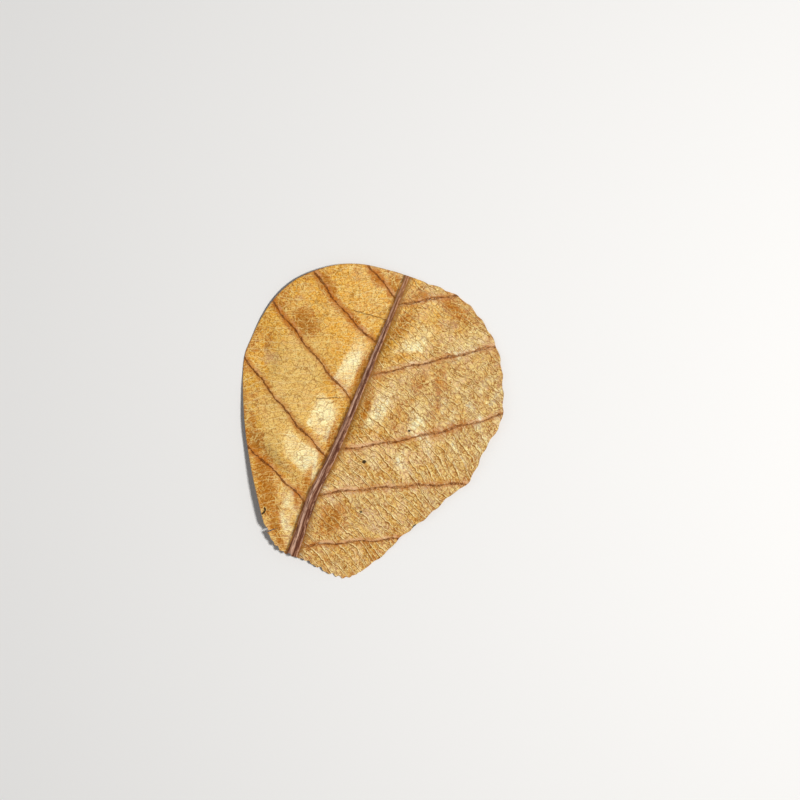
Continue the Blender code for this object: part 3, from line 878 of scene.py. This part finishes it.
# Colours of the fine texture
SQUIGGLE = rgb(252, 216, 120)
PALE_GRAIN = rgb(250, 208, 114)
DARK_GRAIN = rgb(158, 92, 8)
HAIRLINE = rgb(140, 80, 10)
NET_LINE = rgb(254, 226, 146)
# Painted highlight on each rung's crest and painted shadow along its side
RUNG_PAINTED_HIGHLIGHT = rgb(253, 224, 156)
RUNG_PAINTED_SHADOW = rgb(136, 82, 28)

# Colours of the side veins, the midrib and the marks
VEIN_BAND = rgb(186, 104, 30)
# Painted highlight in pink on each side vein's flank towards the tip
VEIN_PAINTED_HIGHLIGHT = rgb(230, 176, 128)
VEIN_CORD = rgb(92, 44, 8)
RIB_BAND = rgb(150, 92, 20)
# Painted shade beside the midrib's foot
RIB_PAINTED_SHADE = rgb(104, 62, 12)
RIB_WOOD = rgb(98, 56, 42)
RIB_FIBRE = rgb(176, 128, 102)
RIB_CREST_PAINTED_HIGHLIGHT = rgb(220, 182, 160)
RIB_CORE = rgb(90, 48, 38)
RIB_RIGHT_FOOT = rgb(222, 176, 142)
RIB_TIP = rgb(190, 130, 76)
DARK_SPOT = rgb(46, 32, 20)
RING = rgb(140, 86, 30)
CUT_EDGE = rgb(140, 92, 44)
UNDERSIDE = rgb(150, 112, 74)


def ground_colour(n, place, mottle, tan):
    """Gold on the left half, pinkish tan and blotchy on the right, with pale patches, some of
    them painted highlights.
    """
    # Pale patches, partly paler ground and partly painted highlights on the right half's ridges
    pale = n.plus(n.measure("pale"), n.times(n.plus(mottle, -0.5), 1.2))
    paler = n.mix(tan, PALE_GOLD, PALE_TAN)
    colour = n.mix(n.fade(pale, 0.1, 1.0, 0.0, 0.8), n.mix(tan, GOLD, TAN), paler)
    strength = n.plus(n.times(tan, 0.7), 0.25)
    wide = n.noise(n.warp(place, *WIDE_WARP), WIDE_PATCH, 4.0, 0.6)
    colour = n.mix(n.times(n.fade(wide, 0.52, 0.58), strength), colour, PINK_PATCH)
    colour = n.mix(n.times(n.fade(wide, 0.47, 0.4), strength), colour, BROWN_PATCH)
    small = n.noise(n.warp(place, *SMALL_WARP), SMALL_PATCH, 3.0, 0.6)
    strength = n.times(strength, 0.6)
    colour = n.mix(n.times(n.fade(small, 0.55, 0.62), strength), colour, PINK_FLECK)
    colour = n.mix(n.times(n.fade(small, 0.44, 0.38), strength), colour, BROWN_FLECK)
    colour = n.mix(n.fade(mottle, 0.54, 0.66, 0.0, 0.4), colour, OCHRE_MOTTLE)
    return n.mix(n.fade(mottle, 0.46, 0.34, 0.0, 0.3), colour, YELLOW_MOTTLE)


def stained(n, colour, mottle, blotch):
    """Amber and grey stains with ragged edges, and a little amber along the leaf's edge."""
    ragged = n.plus(n.plus(n.times(mottle, 1.2), n.times(blotch, 0.8)), -1.0)
    rim = n.fade(n.measure("edge"), AMBER_RIM, 0.0, 0.0, 0.36)
    amber = n.plus(n.largest(n.measure("amber"), rim), ragged)
    colour = n.mix(n.fade(amber, 0.22, 0.46, 0.0, 0.8), colour, AMBER)
    colour = n.mix(n.fade(amber, 0.66, 0.94, 0.0, 0.6), colour, DARK_AMBER)
    grey = n.plus(n.measure("grey"), ragged)
    return n.mix(n.fade(grey, 0.25, 0.6, 0.0, 0.5), colour, GREY_STAIN)


def grained(n, colour):
    """Fine pale and dark grains and pale squiggles, the pale ones weaker on amber stains."""
    grains = n.noise(n.grain(FINE_STRETCH), GRAIN_SIZE, 2.0, 0.6)
    n.raise_by(n.times(grains, GRAIN_RISE))
    winding = n.noise(n.warp(n.grain(FINE_STRETCH), *SQUIGGLE_WARP), SQUIGGLE_SIZE, 1.0)
    pale = n.fade(n.measure("amber"), 0.2, 0.9, 0.45, 0.2)
    squiggles = n.times(n.line(winding, 0.5, SQUIGGLE_WIDTH), pale)
    colour = n.mix(squiggles, colour, SQUIGGLE)
    colour = n.mix(n.times(n.fade(grains, 0.52, 0.58), pale), colour, PALE_GRAIN)
    return n.mix(n.fade(grains, 0.48, 0.42, 0.0, 0.45), colour, DARK_GRAIN)


def netted(n, colour):
    """Dull hairlines round small cells and raised pale lines round wider ones.

    Gives the hairlines' cover too.
    """
    close = n.net(n.warp(n.grain(FINE_STRETCH), *HAIR_WARP), HAIR_CELL)
    broken = n.fade(n.noise(n.grain(), LINE_BREAKS), 0.35, 0.6, 0.4, 1.0)
    hairs = n.times(n.times(n.fade(close, 0.085, 0.03), broken), n.halves(0.6, 0.8))
    colour = n.mix(hairs, colour, HAIRLINE)
    n.raise_by(n.times(hairs, HAIR_RISE))
    wide = n.net(n.warp(n.grain(NET_STRETCH), *NET_WARP), NET_CELL)
    shown = n.fade(n.noise(n.grain(), LINE_BREAKS, 2.0), 0.46, 0.54)
    lines = n.times(n.fade(wide, 0.05, 0.015), shown)
    n.raise_by(n.times(lines, n.halves(*NET_RISES)))
    return n.mix(n.times(lines, 0.55), colour, NET_LINE), hairs


def rung_lines(n, rung, width, shown):
    """Cover of a family of raised rungs, for a painted highlight on each, and of the painted
    shadow along each one's side.
    """
    beside = n.plus(n.math("FRACT", n.plus(rung, 0.5)), -0.5)
    crest = n.times(n.line(beside, 0.0, width), shown)
    shade = n.times(n.line(beside, -1.4 * width, 1.1 * width), shown)
    return crest, shade


def rung_covers(n):
    """Cover of the rungs' painted highlights and of their painted shadow lines, with finer and
    fainter rungs between.
    """
    jitter = n.sway(RUNG_JITTER_SIZE, n.halves(*RUNG_JITTERS))
    shift = n.plus(n.sway(*RUNG_SWAY_WIDE), jitter)
    rung = n.plus(n.measure("rung"), shift)
    shown = n.fade(n.noise(n.grain(RUNG_STRETCH), RUNG_BREAKS, 2.0), 0.4, 0.5)
    crest, shade = rung_lines(n, rung, RUNG_LINE_WIDTH, shown)
    finer = n.plus(n.times(rung, FINER_RUNGS), n.times(n.noise(n.grain(), 2.5), 1.2))
    shown = n.fade(n.noise(n.grain(RUNG_STRETCH), FINER_BREAKS, 2.0), 0.44, 0.56)
    fine_crest, fine_shade = rung_lines(n, finer, FINER_LINE_WIDTH, shown)
    crest = n.largest(crest, n.times(fine_crest, 0.6))
    return crest, n.largest(shade, n.times(fine_shade, 0.6))


def runged(n, colour):
    """Rungs with painted highlights and shadows, clearer on the right half and towards the base.
    Gives the shadows' cover too.
    """
    crest, shade = rung_covers(n)
    n.raise_by(n.times(crest, n.halves(*CREST_RISES)))
    lower = n.fade(n.measure("along"), 18.0, -12.0, 0.7, 1.0)
    lower = n.times(lower, n.fade(n.measure("amber"), 0.2, 0.9, 1.0, 0.5))
    shade = n.times(n.times(shade, lower), n.halves(0.15, 0.9))
    colour = n.mix(shade, colour, RUNG_PAINTED_SHADOW)
    crest = n.times(n.times(crest, lower), n.halves(0.65, 0.85))
    return n.mix(crest, colour, RUNG_PAINTED_HIGHLIGHT), shade


def vein_cords(n, mottle, gap, shift):
    """Cover of the side veins' brown cords, split or knotted in places, and the minor veins."""
    split = n.fade(n.noise(n.grain(), LINE_BREAKS, 1.0), 0.42, 0.58, 0.0, CORD_SPLIT)
    split = n.times(split, n.halves(0.6, 1.0))
    cord = n.fade(n.math("ABSOLUTE", n.math("SUBTRACT", gap, split)), 0.25, 0.06)
    minor = n.math("ABSOLUTE", n.plus(n.measure("minor"), n.times(shift, 0.7)))
    cord = n.largest(cord, n.fade(minor, 0.3, 0.08, 0.0, 0.8))
    n.raise_by(n.times(cord, CORD_RISE))
    knots = n.noise(n.grain(), KNOT_SIZE, 3.0, 0.65)
    knot = n.fade(n.plus(gap, n.times(knots, -3.0)), -1.35, -1.6)
    strength = n.times(n.fade(mottle, 0.35, 0.55, 0.55, 1.0), n.halves(0.85, 0.6))
    return n.largest(n.times(cord, strength), n.times(knot, 0.8))


def veined(n, colour, mottle, blotch):
    """Side veins: a brown cord in a stained band, with a painted highlight in pink on the side
    towards the tip. Gives the cords' cover too.
    """
    shift = n.sway(*CORD_SWAY, 4.0, 0.65)
    beside = n.plus(n.times(n.measure("vein"), n.measure("vein_side")), shift)
    gap = n.math("ABSOLUTE", beside)
    band = n.plus(gap, n.times(n.plus(mottle, blotch), 2.4))
    colour = n.mix(n.fade(band, 4.4, 2.2, 0.0, 0.7), colour, VEIN_BAND)
    # Painted highlight: a pink line beside each vein, on its side towards the tip
    pink = n.times(n.line(beside, 0.7, 0.8), n.fade(blotch, 0.5, 0.58, 0.0, 0.6))
    colour = n.mix(n.times(pink, n.halves(0.6, 1.0)), colour, VEIN_PAINTED_HIGHLIGHT)
    cords = vein_cords(n, mottle, gap, shift)
    return n.mix(cords, colour, VEIN_CORD), cords


def rib_band_and_painted_shade(n, colour, mottle, side):
    """A brown band on both sides of the midrib, and painted shade in dark patches close to it,
    fuller on its left.
    """
    band = n.plus(n.measure("rib_gap"), n.times(mottle, 4.0))
    band = n.plus(band, n.fade(side, 0.0, 2.0, 0.0, -0.7))
    colour = n.mix(n.fade(band, 3.6, 1.6, 0.0, 0.85), colour, RIB_BAND)
    # Painted shade: dark patches at the midrib's foot, fuller on its left, the side away from the
    # key lamp
    shade = n.times(n.fade(side, 0.0, -0.5, 0.4, 1.0), n.fade(mottle, 0.44, 0.52, 0.0, 0.8))
    shade = n.times(shade, n.fade(n.measure("rib_gap"), 1.1, 0.5))
    return n.mix(shade, colour, RIB_PAINTED_SHADE)


def rib_fibres(n, side, share):
    """Noise in streaks along the midrib, where it changes at this share of its pace across."""
    place = n.add("ShaderNodeCombineXYZ", {0: side, 1: n.times(n.measure("along"), share)})
    return n.noise(place.outputs[0], FIBRE_SIZE, 3.0, 0.7)


def rib_core(n, side):
    """Cover of the dark core, right of the middle at the base and narrower towards the tip."""
    middle = n.fade(n.measure("along"), -40.0, 20.0, 1.0, 0.3)
    reach = n.fade(n.measure("along"), -40.0, 20.0, 1.3, 0.65)
    off_core = n.math("DIVIDE", n.math("ABSOLUTE", n.math("SUBTRACT", side, middle)), reach)
    patch = n.noise(n.grain(), 3.0, 2.0)
    return n.times(n.fade(off_core, 1.0, 0.4), n.fade(patch, 0.36, 0.54, 0.6, 1.0))


def rib_wood(n, side, fibre, core):
    """Colour of the midrib: dark and pale fibres, a painted highlight on its left crest, the core
    and a paler tip.
    """
    streak = rib_fibres(n, side, STREAK_ALONG)
    wood = n.mix(n.fade(fibre, 0.44, 0.56), RIB_WOOD, RIB_FIBRE)
    # Painted highlight: a pale streak along the midrib's left crest
    crest = n.times(n.line(side, -0.5, 0.65), n.fade(streak, 0.4, 0.54, 0.4, 0.9))
    crest = n.times(crest, n.fade(fibre, 0.44, 0.54, 0.25, 1.0))
    wood = n.mix(crest, wood, RIB_CREST_PAINTED_HIGHLIGHT)
    wood = n.mix(n.times(core, n.fade(fibre, 0.66, 0.5)), wood, RIB_CORE)
    foot = n.times(n.line(n.measure("rib_gap"), -0.15, 0.3), n.fade(side, 0.0, 0.3))
    foot = n.times(foot, n.fade(streak, 0.46, 0.54, 0.0, 0.7))
    wood = n.mix(foot, wood, RIB_RIGHT_FOOT)
    return n.mix(n.fade(n.measure("along"), 26.0, 46.0, 0.0, 0.35), wood, RIB_TIP)


def ribbed(n, colour, mottle):
    """The midrib, its stained sides and the painted shade beside it. Gives the cover of the
    midrib and its dull sides too.
    """
    side = n.plus(n.measure("rib_side"), n.sway(*RIB_WANDER))
    fibre = rib_fibres(n, side, FIBRE_ALONG)
    core = rib_core(n, side)
    gap = n.plus(n.measure("rib_gap"), n.times(n.plus(fibre, -0.5), 1.6))
    on_rib = n.fade(n.plus(gap, n.times(core, -0.4)), 0.3, -0.2)
    n.raise_by(n.times(n.times(fibre, on_rib), FIBRE_RISE))
    colour = rib_band_and_painted_shade(n, colour, mottle, side)
    colour = n.mix(n.times(on_rib, 0.92), colour, rib_wood(n, side, fibre, core))
    return colour, n.largest(on_rib, n.fade(n.measure("rib_gap"), 0.9, 0.1))


def marked(n, colour, mottle):
    """Dark spots, the small ring and a darker cut edge. Gives the spots' cover too."""
    spot = n.plus(n.measure("spot"), n.times(n.plus(mottle, -0.5), 0.8))
    spots = n.fade(spot, 0.4, 0.65, 0.0, 0.95)
    colour = n.mix(spots, colour, DARK_SPOT)
    colour = n.mix(n.fade(n.measure("ring"), 0.35, 0.1, 0.0, 0.6), colour, RING)
    return n.mix(n.fade(n.measure("edge"), 0.5, 0.0, 0.0, 0.5), colour, CUT_EDGE), spots


def upper_face(n, place, mottle):
    """Colour of the upper face, and the cover of what has lost its waxy gloss."""
    blotch = n.noise(place, BLOTCH_SIZE)
    split = n.add("ShaderNodeSeparateXYZ", {0: place})
    n.right = n.fade(split.outputs[0], RIB_X - 1, RIB_X + 1)
    slope = n.math("SUBTRACT", split.outputs[0], n.times(split.outputs[1], 0.3))
    tan = n.fade(n.plus(n.times(slope, 0.02), n.noise(place, TAN_DRIFT)), 0.1, 0.9)
    colour = ground_colour(n, place, mottle, tan)
    colour = stained(n, colour, mottle, blotch)
    colour = grained(n, colour)
    colour, hairs = netted(n, colour)
    colour, painted_rung_shadows = runged(n, colour)
    colour, cords = veined(n, colour, mottle, blotch)
    colour, rib = ribbed(n, colour, mottle)
    colour, spots = marked(n, colour, mottle)
    stains = n.fade(n.measure("amber"), 0.2, 0.9, 0.0, 0.8)
    return colour, n.largest(rib, cords, spots, hairs, painted_rung_shadows, stains)


def leaf_material():
    """Finely netted and waxy above, duller and browner below."""
    n = Nodes("dried_leaf")
    vector = n.add("ShaderNodeTexCoord").outputs["Object"]
    place = n.add("ShaderNodeMapping", {"Vector": vector, "Scale": (1 / METRES,) * 3}).outputs[0]
    mottle = n.noise(place, MOTTLE_SIZE, 4.0, 0.65)
    colour, bare = upper_face(n, place, mottle)
    below = n.measure("under")
    n.feed(n.shader.inputs["Base Color"], n.mix(below, colour, n.mix(0.55, colour, UNDERSIDE)))
    gloss = n.plus(n.times(mottle, 0.06), n.halves(*WAX_ROUGHNESS))
    n.feed(n.shader.inputs["Roughness"], n.math("ADD", gloss, n.times(below, 0.3), clamp=True))
    kept = n.fade(n.largest(bare, below), 0.0, 1.0, 1.0, 0.1)
    n.shader.inputs["Specular IOR Level"].default_value = PLAIN_SHINE
    n.feed(n.shader.inputs["Specular IOR Level"], n.times(n.halves(*WAX_SHINE), kept))
    n.shader.inputs["IOR"].default_value = WAX_IOR
    n.shader.inputs["Specular Tint"].default_value = WAX_TINT
    inputs = {"Height": n.height, "Strength": 1.0, "Distance": METRES}
    n.feed(n.shader.inputs["Normal"], n.add("ShaderNodeBump", inputs).outputs[0])
    return n.material


def floor_material():
    n = Nodes("pale_floor")
    n.shader.inputs["Base Color"].default_value = FLOOR_COLOUR
    n.shader.inputs["Roughness"].default_value = FLOOR_ROUGHNESS
    return n.material


def add_object(name, data):
    thing = bpy.data.objects.new(name, data)
    bpy.context.collection.objects.link(thing)
    return thing


def make_floor():
    """A square floor, a hair below the leaf's feet."""
    mesh = bpy.data.meshes.new("floor")
    square = ((-1, -1), (1, -1), (1, 1), (-1, 1))
    corners = [(FLOOR_HALF * x, FLOOR_HALF * y, 0.0) for x, y in square]
    mesh.from_pydata(corners, [], [(0, 1, 2, 3)])
    mesh.materials.append(floor_material())
    floor = add_object("floor", mesh)
    floor.location.z = -FLOOR_DROP


def make_leaf():
    mesh = leaf_mesh()
    mesh.materials.append(leaf_material())
    leaf = add_object("dried_leaf", mesh)
    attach(leaf, "root")
    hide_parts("leaf")


def area_light(name, place, size, power, colour):
    """A square lamp that faces the leaf. Place and size are in metres, power in watts."""
    lamp = bpy.data.lights.new(name, "AREA")
    lamp.size = size
    lamp.energy = power
    lamp.color = colour
    thing = add_object(name, lamp)
    thing.location = place
    thing.rotation_euler = (-Vector(place)).to_track_quat("-Z", "Y").to_euler()


def light_scene():
    """A key lamp from the photograph's right, a wide fill from its left and an even sky."""
    azimuth, elevation = math.radians(KEY_AZIMUTH), math.radians(KEY_ELEVATION)
    flat, high = KEY_DISTANCE * math.cos(elevation), KEY_DISTANCE * math.sin(elevation)
    key = (flat * math.cos(azimuth), flat * math.sin(azimuth), high)
    area_light("key", key, KEY_SIZE, KEY_POWER, KEY_COLOUR)
    area_light("fill", FILL_PLACE, FILL_SIZE, FILL_POWER, FILL_COLOUR)
    world = bpy.data.worlds.new("studio")
    world.use_nodes = True
    world.node_tree.nodes["Background"].inputs["Color"].default_value = WHITE
    world.node_tree.nodes["Background"].inputs["Strength"].default_value = SKY_STRENGTH
    bpy.context.scene.world = world
    bpy.context.scene.view_settings.view_transform = "Standard"


def aim_camera():
    """Straight down on the leaf, turned so that its midrib leans to the right of upright."""
    camera = bpy.data.cameras.new("camera")
    camera.sensor_width = SENSOR
    camera.lens = SENSOR * CAMERA_DISTANCE / VIEW_WIDTH
    camera.clip_start = NEAREST_SEEN
    thing = add_object("camera", camera)
    thing.location = Vector((*VIEW_CENTRE[:2], VIEW_CENTRE[2] + CAMERA_DISTANCE)) * METRES
    thing.rotation_euler = (0.0, 0.0, math.atan2(-VIEW_UP[0], VIEW_UP[1]))
    bpy.context.scene.camera = thing


make_floor()
make_leaf()
light_scene()
aim_camera()
